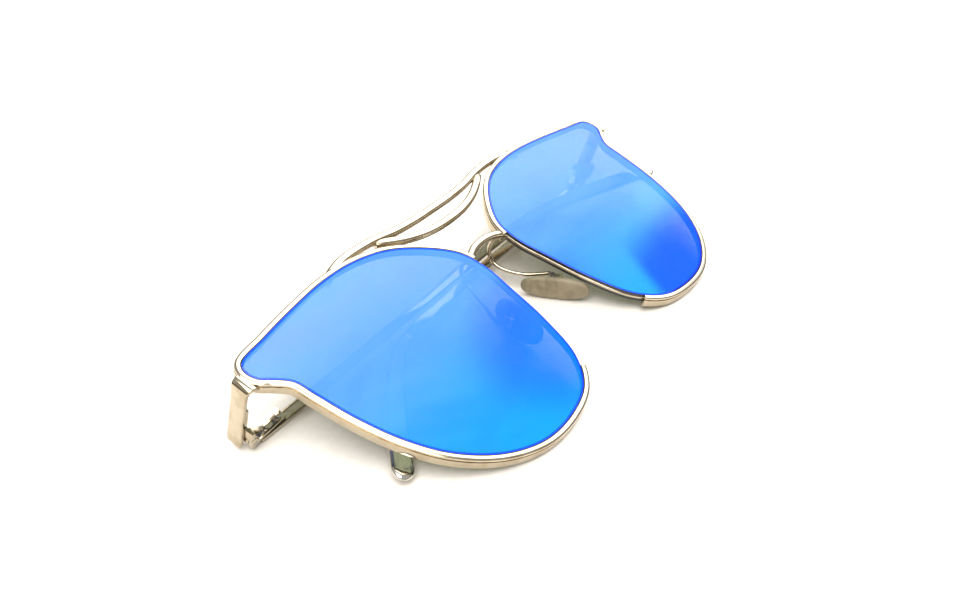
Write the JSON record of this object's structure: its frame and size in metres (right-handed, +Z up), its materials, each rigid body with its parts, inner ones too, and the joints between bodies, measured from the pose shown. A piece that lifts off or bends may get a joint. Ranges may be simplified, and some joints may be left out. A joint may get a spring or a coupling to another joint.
{
  "type": "sunglasses",
  "caption": "Metal aviator sunglasses with flat winged mirror lenses, a triple-bar bridge, rocking nose pads and folding temples.",
  "frame": {"origin": "centre of the bounding box in X and Y, on the surface that the folded glasses lie on", "axes": "+X across the face towards the wearer's left, +Y from the cheek side to the brow side, +Z up; the front leans back 18.5 degrees from level"},
  "size_m": [0.1526, 0.0644, 0.0242],
  "materials": {
    "frame_metal": "polished pale silver plating, warm",
    "mirror_lens": "blue mirror coating on a flat polycarbonate lens",
    "screw_steel": "turned steel",
    "tip_metal": "polished sleeve",
    "pad_grey": "satin metallic grey"
  },
  "bodies": {
    "front": {"brow_bar": "frame_metal", "middle_bar": "frame_metal", "lower_bridge": "frame_metal", "right_rim": "frame_metal", "left_rim": "frame_metal", "right_lens": "mirror_lens", "left_lens": "mirror_lens", "right_lens_wire": "frame_metal", "left_lens_wire": "frame_metal", "right_end_piece": "frame_metal", "left_end_piece": "frame_metal", "right_front_hinge": "frame_metal", "left_front_hinge": "frame_metal", "right_hinge_screw": "screw_steel", "left_hinge_screw": "screw_steel", "right_pad_arm": "frame_metal", "left_pad_arm": "frame_metal", "right_pad_box": "frame_metal", "left_pad_box": "frame_metal", "right_pad_screw": "screw_steel", "left_pad_screw": "screw_steel"},
    "right_arm": {"right_temple_hinge": "frame_metal", "right_temple": "frame_metal", "right_temple_tip": "tip_metal"},
    "left_arm": {"left_temple_hinge": "frame_metal", "left_temple": "frame_metal", "left_temple_tip": "tip_metal"},
    "right_pad": {"right_nose_pad": "pad_grey"},
    "left_pad": {"left_nose_pad": "pad_grey"}
  },
  "joints": [
    {"name": "right_temple_fold", "type": "hinge", "parent": "front", "child": "right_arm", "pos_m": [-0.07395, 0.02411, 0.0032], "axis": [-0.0201, 0.9481, 0.3173], "range_deg": [0, 96.2]},
    {"name": "left_temple_fold", "type": "hinge", "parent": "front", "child": "left_arm", "pos_m": [0.07395, 0.02411, 0.0032], "axis": [0.0201, -0.9481, -0.3173], "range_deg": [0, 95.2]},
    {"name": "right_pad_rock", "type": "hinge", "parent": "front", "child": "right_pad", "pos_m": [-0.01091, -0.00246, 0.00485], "axis": [0.3255, -0.0814, 0.942], "range_deg": [-8, 8]},
    {"name": "left_pad_rock", "type": "hinge", "parent": "front", "child": "left_pad", "pos_m": [0.01091, -0.00246, 0.00485], "axis": [-0.3255, -0.0814, 0.942], "range_deg": [-8, 8]}
  ]
}
